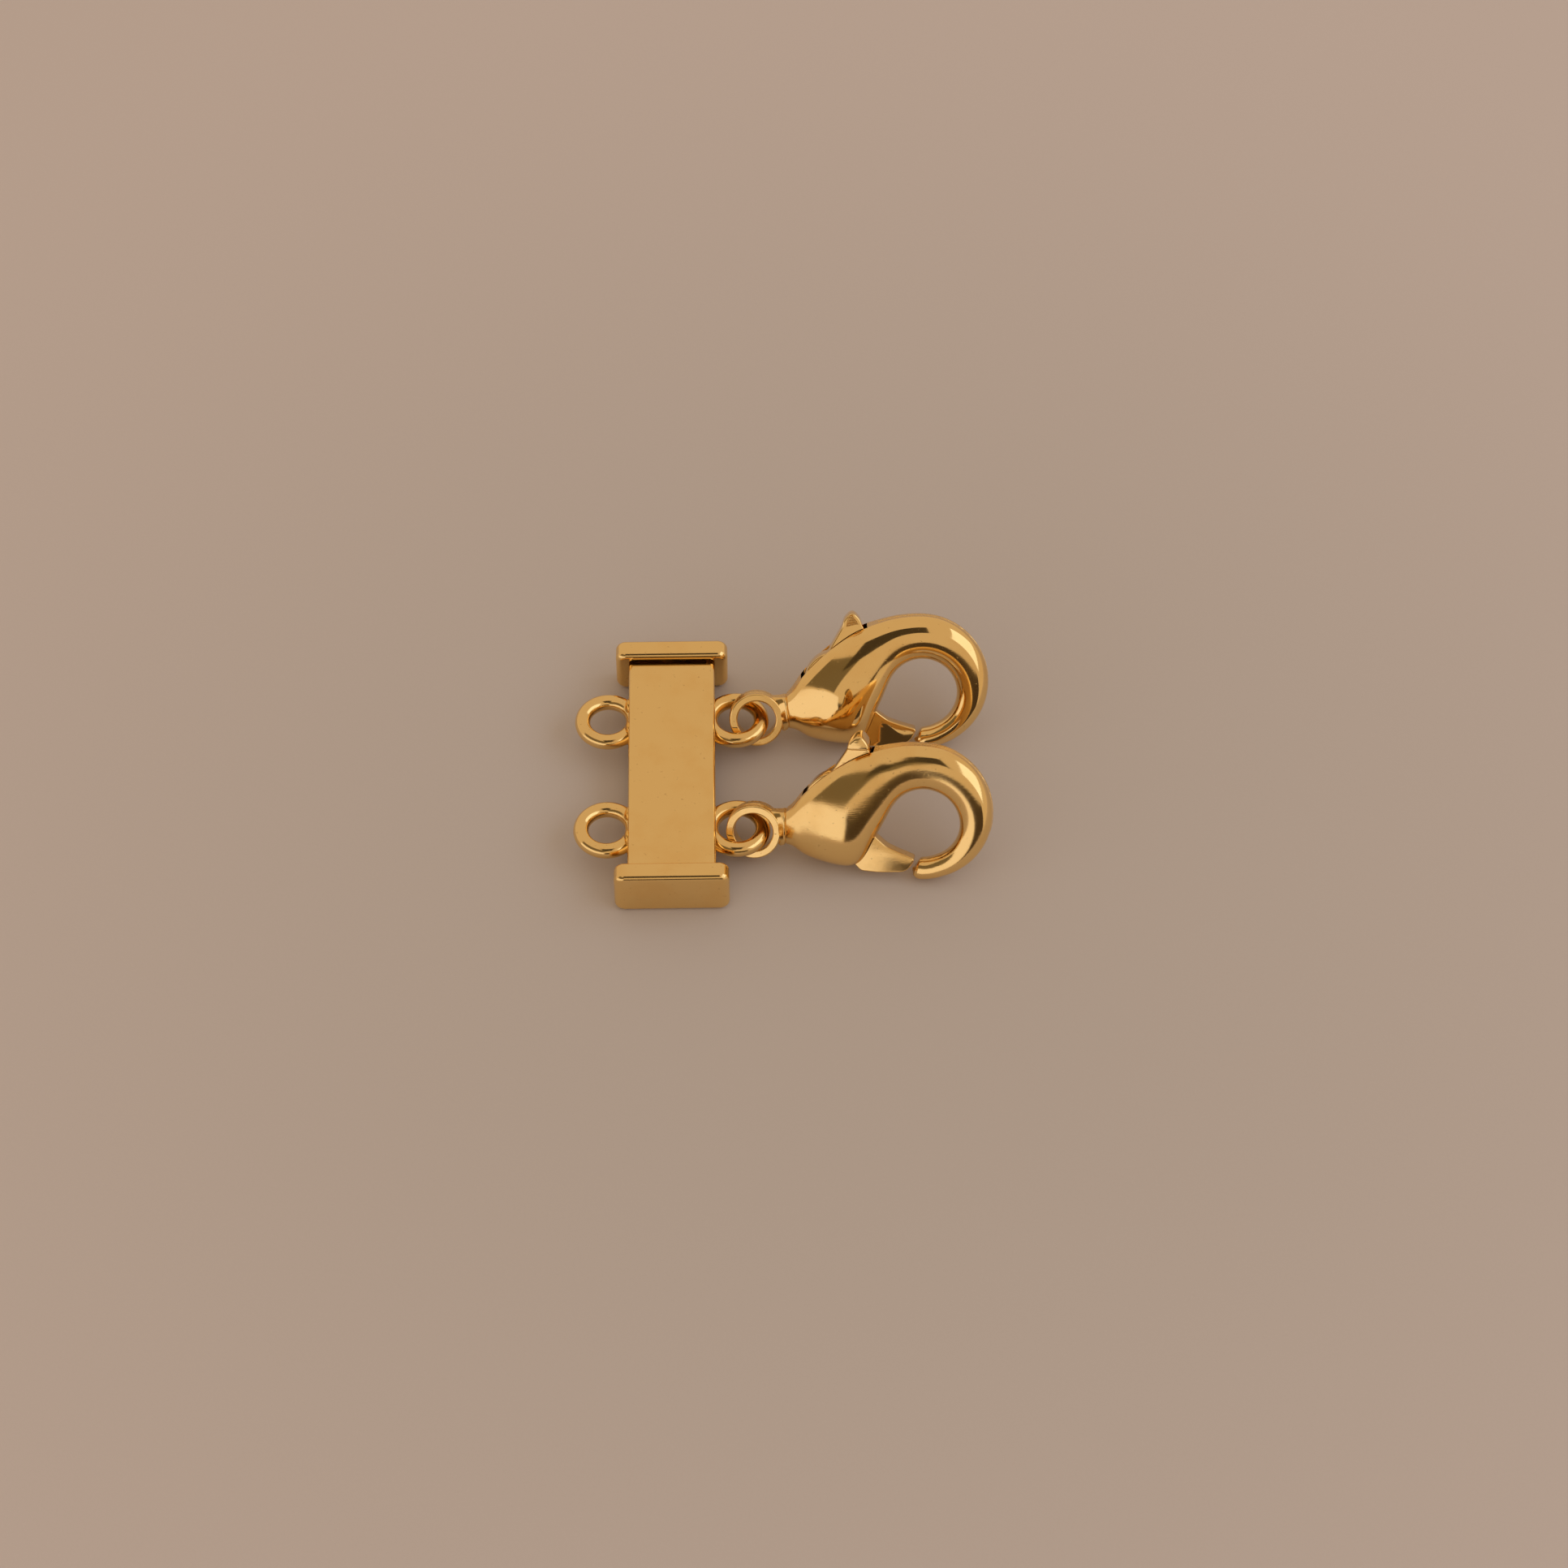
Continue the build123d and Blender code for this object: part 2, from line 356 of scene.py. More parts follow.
class Shape:
    """Points and faces of a piece, gathered in millimetres in the row frame."""

    def __init__(self) -> None:
        """Starts empty."""
        self.points: list[Sequence[float]] = []
        self.faces: list[list[int]] = []
        self.second: list[int] = []

    def loft(
        self, rings: Sequence[np.ndarray], round_trip: bool = False, second: Sequence[int] = ()
    ) -> "Shape":
        """Adds a skin over rings of equally many points.

        Args:
            rings: the rings in order, each an array of points.
            round_trip: whether the last ring meets the first again; otherwise both ends are closed.
            second: points of a ring from which a face with the second material starts.

        Returns:
            The shape itself.
        """
        base, count = len(self.points), len(rings[0])
        for ring in rings:
            self.points.extend(ring.tolist())
        pairs = len(rings) if round_trip else len(rings) - 1
        for row in range(pairs):
            here, there = base + row * count, base + (row + 1) % len(rings) * count
            self.second.extend(len(self.faces) + k for k in second)
            for k in range(count):
                after = (k + 1) % count
                self.faces.append([here + k, here + after, there + after, there + k])
        if not round_trip:
            last = base + (len(rings) - 1) * count
            self.faces.append([base + k for k in reversed(range(count))])
            self.faces.append([last + k for k in range(count)])
        return self

    def finish(self, name: str, materials: Sequence[bpy.types.Material] = ()) -> bpy.types.Object:
        """Makes the object, in metres, with its materials and its faces turned outwards.

        Args:
            name: the object's name.
            materials: its materials; the second is for the faces marked so.

        Returns:
            The object.
        """
        mesh = bpy.data.meshes.new(name)
        mesh.from_pydata([tuple(c * MM for c in p) for p in self.points], [], self.faces)
        for material in materials:
            mesh.materials.append(material)
        for face in self.second:
            mesh.polygons[face].material_index = 1
        piece = placed(name, mesh)
        outward(piece)
        return piece


def outward(piece: bpy.types.Object) -> None:
    """Merges a closed mesh's doubles and turns its faces outwards.

    Args:
        piece: the piece's object.
    """
    work = bmesh.new()
    work.from_mesh(piece.data)
    bmesh.ops.remove_doubles(work, verts=work.verts, dist=1e-8)
    bmesh.ops.recalc_face_normals(work, faces=work.faces)
    work.to_mesh(piece.data)
    work.free()


def smoothed(piece: bpy.types.Object, angle: float = 35.0) -> bpy.types.Object:
    """Shades a mesh smooth, except over edges sharper than the angle.

    Args:
        piece: the piece's object.
        angle: the angle in degrees.

    Returns:
        The same object.
    """
    piece.data.shade_smooth()
    piece.data.set_sharp_from_angle(angle=radians(angle))
    return piece


def settled(piece: bpy.types.Object) -> bpy.types.Object:
    """Replaces a piece's mesh by what its modifiers make of it, and removes them.

    Args:
        piece: the piece's object.

    Returns:
        The same object.
    """
    graph = bpy.context.evaluated_depsgraph_get()
    mesh = bpy.data.meshes.new_from_object(piece.evaluated_get(graph), depsgraph=graph)
    piece.modifiers.clear()
    piece.data = mesh
    return piece


def carved(piece: bpy.types.Object, other: bpy.types.Object, cut: Cut) -> bpy.types.Object:
    """Joins a second mesh to a piece or cuts it away, and deletes the second.

    Args:
        piece: the piece's object.
        other: the second mesh's object.
        cut: whether it is joined or cut away.

    Returns:
        The piece's object.
    """
    change = piece.modifiers.new("change", "BOOLEAN")
    change.operation = cut.value
    change.solver = "EXACT"
    change.object = other
    settled(piece)
    bpy.data.objects.remove(other)
    return piece


def rounded_outline(corners: Sequence[Point], radius: float, steps: int = 5) -> list[Point]:
    """Closed outline with its corners rounded by short curves.

    Args:
        corners: the outline's corners.
        radius: how far from a corner its curve starts, less on short edges.
        steps: points on each curve.

    Returns:
        The points of the rounded outline.
    """
    points = []
    count = len(corners)
    for k in range(count):
        before, here, after = (np.array(corners[(k + d) % count], float) for d in (-1, 0, 1))
        back, ahead = before - here, after - here
        start = here + back * min(radius / np.linalg.norm(back), 0.45)
        stop = here + ahead * min(radius / np.linalg.norm(ahead), 0.45)
        for t in np.linspace(0, 1, steps):
            points.append(tuple((1 - t) ** 2 * start + 2 * t * (1 - t) * here + t * t * stop))
    return points


def rounded_rectangle(
    width: float, height: float, radius: float, steps: int = 8, rest: float = 0.01
) -> np.ndarray:
    """Points round a rectangle with arc corners, about its middle.

    Args:
        width: its width.
        height: its height.
        radius: radius of its corners.
        steps: points on each arc.
        rest: how far from an arc its straight side gets one more point, which keeps the side flat.

    Returns:
        The points.
    """
    points = []
    for k, (sx, sy) in enumerate(((1, 1), (-1, 1), (-1, -1), (1, -1))):
        middle = np.array((sx * (width / 2 - radius), sy * (height / 2 - radius)))
        turns = np.linspace(k * pi / 2, (k + 1) * pi / 2, steps)
        arc = [middle + radius * np.array((cos(t), sin(t))) for t in turns]
        back = np.array((sin(turns[0]), -cos(turns[0])))
        ahead = np.array((-sin(turns[-1]), cos(turns[-1])))
        points += [arc[0] + back * rest, *arc, arc[-1] + ahead * rest]
    return np.array(points)


def through_rows(rows: np.ndarray, gap: float, extra: Sequence[float] = ()) -> tuple[np.ndarray, np.ndarray]:
    """Runs a natural cubic through rows of numbers.

    Args:
        rows: one row of values for each section; the first four are two points' x and y.
        gap: distance between the new rows, along the middle of the two points.
        extra: more places along the run that get a row.

    Returns:
        The places of the new rows along the run, and the rows.
    """
    middle = (rows[:, 0:2] + rows[:, 2:4]) / 2
    run = np.concatenate([[0], np.cumsum(np.linalg.norm(np.diff(middle, axis=0), axis=1))])
    step = np.diff(run)
    count = len(rows)
    system = np.eye(count)
    right = np.zeros_like(rows)
    for k in range(1, count - 1):
        system[k, k - 1 : k + 2] = step[k - 1], 2 * (step[k - 1] + step[k]), step[k]
        slopes = np.diff(rows[k - 1 : k + 2], axis=0) / step[k - 1 : k + 1, None]
        right[k] = 6 * (slopes[1] - slopes[0])
    bend = np.linalg.solve(system, right)
    even = np.linspace(0, run[-1], int(run[-1] / gap) + 1)
    fresh = np.unique(np.concatenate([even, np.asarray(extra, float)]))
    cell = np.clip(np.searchsorted(run, fresh, "right") - 1, 0, count - 2)
    h = step[cell][:, None]
    a = (run[cell + 1] - fresh)[:, None] / h
    b = 1 - a
    cubic = (a**3 - a) * bend[cell] + (b**3 - b) * bend[cell + 1]
    return fresh, a * rows[cell] + b * rows[cell + 1] + cubic * h * h / 6


def eased(places: np.ndarray, rows: np.ndarray, spread: float, start: float, stop: float) -> np.ndarray:
    """Evens out rows along their run, between two places and less towards them.

    Args:
        places: where each row lies along the run.
        rows: the rows.
        spread: how far neighbours count.
        start: first place that changes.
        stop: last place that changes.

    Returns:
        The evened rows.
    """
    fade_in, fade_out = 1.2, 0.8
    share = np.exp(-(((places[:, None] - places[None, :]) / spread) ** 2) / 2)
    share /= share.sum(axis=1, keepdims=True)
    weight = np.clip((places - start) / fade_in, 0, 1) * np.clip((stop - places) / fade_out, 0, 1)
    return rows + weight[:, None] * (share @ rows - rows)


class GeometryTree(Nodes):
    """A Geometry Nodes tree with named inputs, run once on an object to give a plain mesh."""

    def __init__(self, name: str, inputs: dict[str, tuple[str, object]]) -> None:
        """Makes the tree's sockets: each input's type and first value.

        Args:
            name: the tree's name.
            inputs: type and first value of each input, by its label.
        """
        super().__init__(bpy.data.node_groups.new(name, "GeometryNodeTree"))
        self.tree.interface.new_socket("Geometry", in_out="INPUT", socket_type="NodeSocketGeometry")
        for label, (kind, first) in inputs.items():
            socket = self.tree.interface.new_socket(label, in_out="INPUT", socket_type=kind)
            if first is not None:
                socket.default_value = first
        self.tree.interface.new_socket("Geometry", in_out="OUTPUT", socket_type="NodeSocketGeometry")
        self.given = self.node("NodeGroupInput", {}, {})
        self.result = self.node("NodeGroupOutput", {}, {})

    def close(self, geometry: bpy.types.NodeSocket) -> None:
        """Ends the tree in Realize Instances and Set Material.

        Args:
            geometry: what the tree has made so far.
        """
        real = self.node("GeometryNodeRealizeInstances", {}, {"Geometry": geometry})
        sockets = {"Geometry": real.outputs[0], "Material": self.given.outputs["Material"]}
        dressed = self.node("GeometryNodeSetMaterial", {}, sockets)
        self.tree.links.new(dressed.outputs[0], self.result.inputs[0])

    def run(self, piece: bpy.types.Object, values: dict[str, object]) -> bpy.types.Object:
        """Runs the tree on a piece, its inputs set by their sockets' identifiers.

        Args:
            piece: the object whose mesh the tree reads.
            values: values of its inputs, by their labels.

        Returns:
            The same object with the result as its mesh.
        """
        change = piece.modifiers.new("tree", "NODES")
        change.node_group = self.tree
        for item in self.tree.interface.items_tree:
            if item.in_out == "INPUT" and item.name in values:
                change[item.identifier] = values[item.name]
        piece.update_tag()
        return settled(piece)


def loop_tree() -> GeometryTree:
    """Tree that puts a wire ring on each point of a mesh.

    Returns:
        The tree.
    """
    inputs = {
        "Mid Radius": ("NodeSocketFloat", 0.00118),
        "Wire Radius": ("NodeSocketFloat", 0.000355),
        "Material": ("NodeSocketMaterial", None),
    }
    tree = GeometryTree("wire_loops", inputs)
    given = tree.given.outputs
    circle = "GeometryNodeCurvePrimitiveCircle"
    path = tree.node(circle, {}, {"Resolution": 96, "Radius": given["Mid Radius"]})
    wire = tree.node(circle, {}, {"Resolution": 32, "Radius": given["Wire Radius"]})
    sockets = {"Curve": path.outputs[0], "Profile Curve": wire.outputs[0]}
    ring = tree.node("GeometryNodeCurveToMesh", {}, sockets)
    sockets = {"Points": given["Geometry"], "Instance": ring.outputs[0]}
    tree.close(tree.node("GeometryNodeInstanceOnPoints", {}, sockets).outputs[0])
    return tree


def seam_tree() -> GeometryTree:
    """Tree that sweeps a thin bead along an edge path, a little uneven.

    Returns:
        The tree.
    """
    inputs = {
        "Radius": ("NodeSocketFloat", 0.00003),
        "Thinnest": ("NodeSocketFloat", 0.6),
        "Thickest": ("NodeSocketFloat", 1.2),
        "Seed": ("NodeSocketInt", 3),
        "Material": ("NodeSocketMaterial", None),
    }
    tree = GeometryTree("cast_seam", inputs)
    given = tree.given.outputs
    curve = tree.node("GeometryNodeMeshToCurve", {}, {"Mesh": given["Geometry"]})
    sockets = {2: given["Thinnest"], 3: given["Thickest"], "Seed": given["Seed"]}
    uneven = tree.node("FunctionNodeRandomValue", {"data_type": "FLOAT"}, sockets).outputs[1]
    size = tree.node("GeometryNodeSetCurveRadius", {}, {"Curve": curve.outputs[0], "Radius": uneven})
    bead = tree.node("GeometryNodeCurvePrimitiveCircle", {}, {"Resolution": 8, "Radius": given["Radius"]})
    sockets = {
        "Curve": size.outputs[0],
        "Profile Curve": bead.outputs[0],
        "Scale": uneven,
        "Fill Caps": True,
    }
    tree.close(tree.node("GeometryNodeCurveToMesh", {}, sockets).outputs[0])
    return tree


def paths_object(name: str, paths: Sequence[Sequence[Vector]]) -> bpy.types.Object:
    """Object of rows of points in millimetres, each row joined by edges; one point stays bare.

    Args:
        name: the object's name.
        paths: the rows of points.

    Returns:
        The object.
    """
    points, edges = [], []
    for path in paths:
        base = len(points)
        points.extend(path)
        edges.extend((base + k, base + k + 1) for k in range(len(path) - 1))
    mesh = bpy.data.meshes.new(name)
    mesh.from_pydata([tuple(c * MM for c in p) for p in points], edges, [])
    return placed(name, mesh)


# Slide clasp


@dataclass
class SlideClasp:
    """Channel, sliding bar, end caps and loops, with sizes in millimetres."""

    width: float = 4.0
    height: float = 1.5
    wall: float = 0.3
    edge: float = 0.2
    cap_width: float = 5.22
    cap_thickness: float = 1.0
    cap_corner: float = 0.48
    cap_edge: float = 0.27
    end_gap: float = 0.14
    clearance: float = 0.05
    nose_gap: float = 0.1
    loop_radius: float = 1.18
    loop_wire: float = 0.71
    loop_seat: float = 0.216
    loop_pitch: float = 6.32
    loop_shift: float = -0.13
    cap_support: float = 0.01
    hidden_end: float = 0.3
    solder_reach: float = 0.20
    solder_length: float = 0.42
    solder_waves: float = 0.10
    x: float = field(init=False)
    middle: float = field(init=False)
    cap_height: float = field(init=False)
    cap_inner: float = field(init=False)

    def __post_init__(self) -> None:
        """Takes the clasp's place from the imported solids."""
        low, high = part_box("outer_half")
        self.x = high.x / MM - self.cap_width / 2
        self.cap_height = (high.z - low.z) / MM
        self.middle = self.cap_height / 2
        self.cap_inner = -low.y / MM - self.cap_thickness

    def across(self, flat: np.ndarray, y: float) -> np.ndarray:
        """Ring of points across the bar at a height along it."""
        return np.array([(self.x + px, y, self.middle + pz) for px, pz in flat])

    def cap(self, name: str, side: int) -> bpy.types.Object:
        """Cap block with rounded corners and edges.

        Args:
            name: the object's name.
            side: 1 at the far end of the bar, -1 at the near end.

        Returns:
            The cap's object.
        """
        turns = [radians(a) for a in range(0, 91, 10)]
        curve = [(self.cap_edge * (1 - sin(t)), self.cap_edge * (1 - cos(t))) for t in turns]
        flat_from = self.cap_edge + self.cap_support
        profile = [(flat_from, 0.0), *curve, (0.0, flat_from)]
        mirrored = [(inset, self.cap_thickness - at) for inset, at in reversed(profile)]
        outline = []
        for inset, at in profile + mirrored:
            size = self.cap_width - 2 * inset, self.cap_height - 2 * inset
            flat = rounded_rectangle(*size, max(self.cap_corner - inset, 0.05), 10)
            outline.append(self.across(flat, side * (self.cap_inner + at)))
        return smoothed(Shape().loft(outline).finish(name))

    def channel(self) -> bpy.types.Object:
        """Channel with its side slot, a C across, that runs into the near cap.

        Returns:
            The channel's object.
        """
        inner_x, inner_z = self.width / 2 - self.wall, self.height / 2 - self.wall
        slot = self.loop_wire / 2 + self.clearance
        outside = rounded_rectangle(self.width, self.height, self.edge, 8)
        turned = sorted(outside.tolist(), key=lambda p: atan2(p[1], p[0]) % (2 * pi))
        lips = [(self.width / 2, slot)] + [p for p in turned if abs(p[1]) > slot or p[0] < 0]
        lips += [(self.width / 2, -slot), (inner_x, -slot), (inner_x, -inner_z)]
        lips += [(-inner_x, -inner_z), (-inner_x, inner_z), (inner_x, inner_z), (inner_x, slot)]
        flat = np.array(lips)
        ends = [-self.cap_inner - self.hidden_end, self.cap_inner - self.end_gap]
        return smoothed(Shape().loft([self.across(flat, y) for y in ends]).finish("channel"), 25.0)

    def slider(self) -> bpy.types.Object:
        """Bar inside the channel, which runs into the far cap.

        Returns:
            The bar's object.
        """
        inset = self.wall + self.clearance
        flat = rounded_rectangle(self.width - 2 * inset, self.height - 2 * inset, 0.05, 3)
        ends = [self.nose_gap - self.cap_inner, self.cap_inner + self.hidden_end]
        return smoothed(Shape().loft([self.across(flat, y) for y in ends]).finish("slider"), 25.0)

    def loop_centres(self, side: int) -> list[Vector]:
        """Centres of the two loops on one side."""
        x = self.x + side * (self.width / 2 - self.loop_seat + self.loop_radius)
        return [Vector((x, row * self.loop_pitch / 2 + self.loop_shift, self.middle)) for row in (1, -1)]

    def solder(self, name: str, side: int) -> bpy.types.Object:
        """Beads of solder where the loops meet the bar.

        Args:
            name: the object's name.
            side: 1 on the right of the bar, -1 on the left.

        Returns:
            The beads' object.
        """
        shape = Shape()
        rng = np.random.default_rng(7 + side)
        reach = self.loop_radius - self.loop_seat
        spread = (self.loop_radius**2 - reach**2) ** 0.5
        limit = self.loop_wire / 2 if side > 0 else self.height / 2 - 0.1
        for centre in self.loop_centres(side):
            for end in (1, -1):
                x = self.x + side * (self.width / 2 + 0.02)
                middle = np.array((x, centre.y + end * spread, self.middle))
                rings = []
                waves = rng.uniform(-1, 1, (3, 3))
                for lift in np.linspace(-pi / 2 + 0.05, pi / 2 - 0.05, 13):
                    ring = []
                    for turn in np.linspace(0, 2 * pi, 24, endpoint=False):
                        wave = sum(w[0] * sin(2 * turn + 3 * w[1]) * cos(lift + w[2]) for w in waves)
                        dx, dz = self.solder_reach * cos(turn), limit * sin(turn)
                        out = np.array((dx * cos(lift), self.solder_length * sin(lift), dz * cos(lift)))
                        ring.append(middle + out * (1 + self.solder_waves * wave))
                    rings.append(np.array(ring))
                shape.loft(rings)
        return smoothed(shape.finish(name), 60.0)

    def build(self) -> None:
        """Builds both halves, dresses them and sets them on their bodies."""
        gold, loop_gold, solder_gold = SLIDE_GOLD.make(), LOOP_GOLD.make(), SOLDER_GOLD.make()
        rings = loop_tree()
        halves = {
            Half.FIXED: ("fixed_half", "outer_half", self.channel(), "fixed_cap"),
            Half.SLIDING: ("sliding_half", "inner_half", self.slider(), "sliding_cap"),
        }
        for half, (body, node, bar, cap_name) in halves.items():
            side, end = half.value
            cap = self.cap(cap_name, end)
            loops = paths_object(node + "_loops", [[centre] for centre in self.loop_centres(side)])
            sizes = {
                "Mid Radius": self.loop_radius * MM,
                "Wire Radius": self.loop_wire / 2 * MM,
                "Material": loop_gold,
            }
            rings.run(loops, sizes)
            smoothed(loops, 60.0)
            solder = self.solder(node + "_solder", side)
            for piece, material in ((bar, gold), (cap, gold), (loops, loop_gold), (solder, solder_gold)):
                piece.data.materials.clear()
                piece.data.materials.append(material)
                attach(piece, body)
                LOG.info("%s: %d faces", piece.name, len(piece.data.polygons))
            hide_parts(node)


# Lobster clasps


@dataclass
class LobsterClasp:
    """One lobster clasp: body with bail, lever and seams, in its own flat frame and laid in place."""

    name: str
    lean: float
    turn: float
    rise: float
    finish: GoldFinish
    hatched: bool
    bail_hole: float = 0.89
    bail_band: float = 0.36
    bail_thickness: float = 0.88
    bail_edge: float = 0.06
    bail_ridge: float = 0.022
    body_height: float = 4.68
    body_thickness: float = 2.8
    eye_reach: float = 7.65
    eye_rise: float = 1.07
    eye_radius: float = 1.68
    top_band: float = 2.06
    side_band: float = 1.48
    tip_band: float = 1.0
    hook_thickness: float = 2.0
    slot_width: float = 0.92
    lever_clearance: float = 0.08
    pivot: Point = (3.8, 1.6)
    pin_hole: float = 0.38
    hub_radius: float = 1.6
    thumb_reach: float = 4.48
    thumb_width: float = 1.0
    thumb_height: float = 0.68
    thumb_thickness: float = 1.2
    squareness: float = 0.80
    evenness: float = 0.42
    even_range: Point = (1.2, 0.4)
    curved: int = 112
    across: int = 9
    # inner x, inner y, outer x, outer y as shares of the bail's outer radius,
    # depth as a share of body_thickness, wall as in the rows below
    neck_row: tuple[float, ...] = (0.930, -0.255, 0.510, 0.818, 0.250, 0.60)
    # inner and outer point of the collar in millimetres
    collar: Points = ((1.20, -0.62), (0.98, 1.02))
    collar_depth: float = 0.94
    crease_place: float = 0.60
    crease_depth: float = 0.07
    crease_width: float = 0.035
    body_rows: Rows = (
        # belly x, belly y, outer x, outer y, depth, as shares of eye_reach, body_height, body_thickness;
        # half width of the flat outer wall as a share of half the depth
        (0.199, -0.111, 0.183, 0.233, 0.470, 0.60),
        (0.301, -0.180, 0.255, 0.374, 0.680, 0.52),
        (0.425, -0.245, 0.333, 0.530, 0.875, 0.46),
        (0.549, -0.274, 0.425, 0.671, 1.000, 0.42),
        (0.643, -0.248, 0.516, 0.782, 1.000, 0.40),
        (0.703, -0.032, 0.608, 0.876, 0.930, 0.38),
        (0.748, 0.132, 0.693, 0.934, 0.857, 0.36),
    )
    hook_rows: Rows = (
        # eye angle, outer angle, proud of the outer circle as a share of top_band,
        # depth as a share of hook_thickness, wall as above
        (180, 122, 0.105, 1.10, 0.34),
        (145, 112, 0.049, 1.02, 0.32),
        (112, 101, 0.0, 0.96, 0.31),
        (80, 78, 0.0, 0.92, 0.30),
        (50, 48, 0.0, 0.88, 0.30),
        (20, 18, 0.0, 0.82, 0.30),
        (-10, -12, 0.0, 0.75, 0.30),
        (-40, -42, 0.0, 0.66, 0.28),
        (-65, -68, 0.0, 0.57, 0.25),
        (-84, -86, 0.0, 0.52, 0.20),
    )
    tip_rows: Rows = (
        # eye angle, outer angle, both insets as shares of tip_band,
        # depth as a share of hook_thickness, wall as above
        (-89.5, -91.0, 0.03, 0.03, 0.49, 0.16),
        (-92.0, -93.5, 0.10, 0.10, 0.44, 0.12),
        (-94.0, -95.2, 0.20, 0.20, 0.34, 0.08),
        (-95.0, -96.0, 0.30, 0.31, 0.22, 0.06),
        (-95.4, -96.3, 0.42, 0.44, 0.08, 0.05),
    )
    slot_corners: Points = (
        *((0.262, 0.225), (0.277, 0.380), (0.262, 0.520), (0.400, 1.150), (0.700, 1.200)),
        *((0.676, 0.880), (0.640, 0.620), (0.700, 0.480), (0.850, 0.390), (0.850, -0.500)),
        *((0.606, -0.500), (0.606, -0.262), (0.545, -0.200), (0.370, 0.130)),
    )
    lever_upper: Points = (
        *((0.664, 0.890), (0.604, 0.620), (0.604, 0.400), (0.664, 0.250)),
        *((0.726, 0.058), (0.797, -0.034), (0.871, -0.081), (0.928, -0.111)),
    )
    lever_lower: Points = ((0.758, -0.299), (0.654, -0.297), (0.622, -0.250), (0.567, -0.160), (0.400, 0.180))
    lever_corner: float = 0.16
    lever_edge: float = 0.05
    # eye angle with inset, then two rim angles with insets; the insets are shares of tip_band
    gate_corners: Points = ((-97.7, 0.033), (-99.7, 0.434), (-103.9, 0.238))
    hub_angles: tuple[float, ...] = (172, 161, 150, 139, 128, 117, 106)
    thumb: Points = ((-0.50, 0.0), (-0.42, 0.51), (-0.08, 1.0), (0.17, 1.0), (0.46, 0.51), (0.54, 0.10))
    thumb_foot: float = 0.923
    thumb_corner: float = 0.22
    thumb_edge: float = 0.10
    thumb_core: Point = (0.88, 0.93)
    hatch_field: Points = (
        *((-0.30, 0.10), (-0.27, 0.50), (-0.05, 0.84)),
        *((0.12, 0.84), (0.32, 0.48), (0.36, 0.14)),
    )
    hatch_depth: float = 0.07
    hatch_ribs: int = 9
    hatch_radius: float = 0.026
    seam_radius: float = 0.03
    seam_depth: float = 0.012
    seam_start: float = 0.37
    along: Vector = field(init=False)
    up: Vector = field(init=False)
    normal: Vector = field(init=False)
    origin: Vector = field(init=False)
    hook_radius: float = field(init=False)
    hook_centre: Point = field(init=False)

    def __post_init__(self) -> None:
        """Works out the clasp's frame from its pin's place, its lean, its turn and its rise."""
        low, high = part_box(f"{self.name}_pin")
        turned = Euler((radians(self.lean), -radians(self.rise), radians(self.turn)), "XYZ").to_matrix()
        self.along, self.up, self.normal = (turned.col[k].copy() for k in range(3))
        self.origin = (low + high) / (2 * MM) - self.along * self.pivot[0] - self.up * self.pivot[1]
        self.hook_radius = self.eye_radius + (self.top_band + self.tip_band) / 2
        rise = self.eye_rise + (self.top_band - self.tip_band) / 2
        side = self.eye_reach + self.eye_radius + self.side_band
        self.hook_centre = (side - self.hook_radius, rise)

    def laid(self, x: float, y: float, z: float) -> Vector:
        """A point of the flat frame in the row frame, in millimetres."""
        return self.origin + self.along * x + self.up * y + self.normal * z

    def laid_ring(self, points: np.ndarray) -> np.ndarray:
        """Points of the flat frame in the row frame."""
        axes = np.array([self.along, self.up, self.normal])
        return points @ axes + np.array(self.origin)

    def shares(self, corners: Sequence[Point]) -> list[Point]:
        """Points from shares of eye_reach and body_height."""
        return [(x * self.eye_reach, y * self.body_height) for x, y in corners]

    def eye_point(self, angle: float, inset: float = 0.0) -> Point:
        """Point on the eye's rim, or inset into the band."""
        radius = self.eye_radius + inset
        return (self.eye_reach + radius * cos(radians(angle)), self.eye_rise + radius * sin(radians(angle)))

    def rim_point(self, angle: float, inset: float = 0.0) -> Point:
        """Point on the hook's outer rim, or inset into the band.

        Args:
            angle: angle round the rim in degrees.
            inset: how far inside the rim.

        Returns:
            The point.
        """
        radius = self.hook_radius - inset
        x, y = self.hook_centre
        return (x + radius * cos(radians(angle)), y + radius * sin(radians(angle)))

    def sections(self) -> np.ndarray:
        """Rows of inner point, outer point, depth and wall, from the bail round to the hook's tip.

        Returns:
            The rows.
        """
        x1, y1, x2, y2, depth, wall = self.neck_row
        outer = self.bail_hole + self.bail_band
        rows = [(x1 * outer, y1 * outer, x2 * outer, y2 * outer, depth * self.body_thickness, wall)]
        inner, outer = self.collar
        rows.append((*inner, *outer, self.collar_depth * self.bail_thickness, wall))
        for x1, y1, x2, y2, depth, wall in self.body_rows:
            inner, outer = self.shares([(x1, y1), (x2, y2)])
            rows.append((*inner, *outer, depth * self.body_thickness, wall))
        for eye, rim, proud, depth, wall in self.hook_rows:
            outer = self.rim_point(rim, -proud * self.top_band)
            rows.append((*self.eye_point(eye), *outer, depth * self.hook_thickness, wall))
        for eye, rim, inset, outer_inset, depth, wall in self.tip_rows:
            inner = self.eye_point(eye, inset * self.tip_band)
            outer = self.rim_point(rim, outer_inset * self.tip_band)
            rows.append((*inner, *outer, depth * self.hook_thickness, wall))
        return np.array(rows)

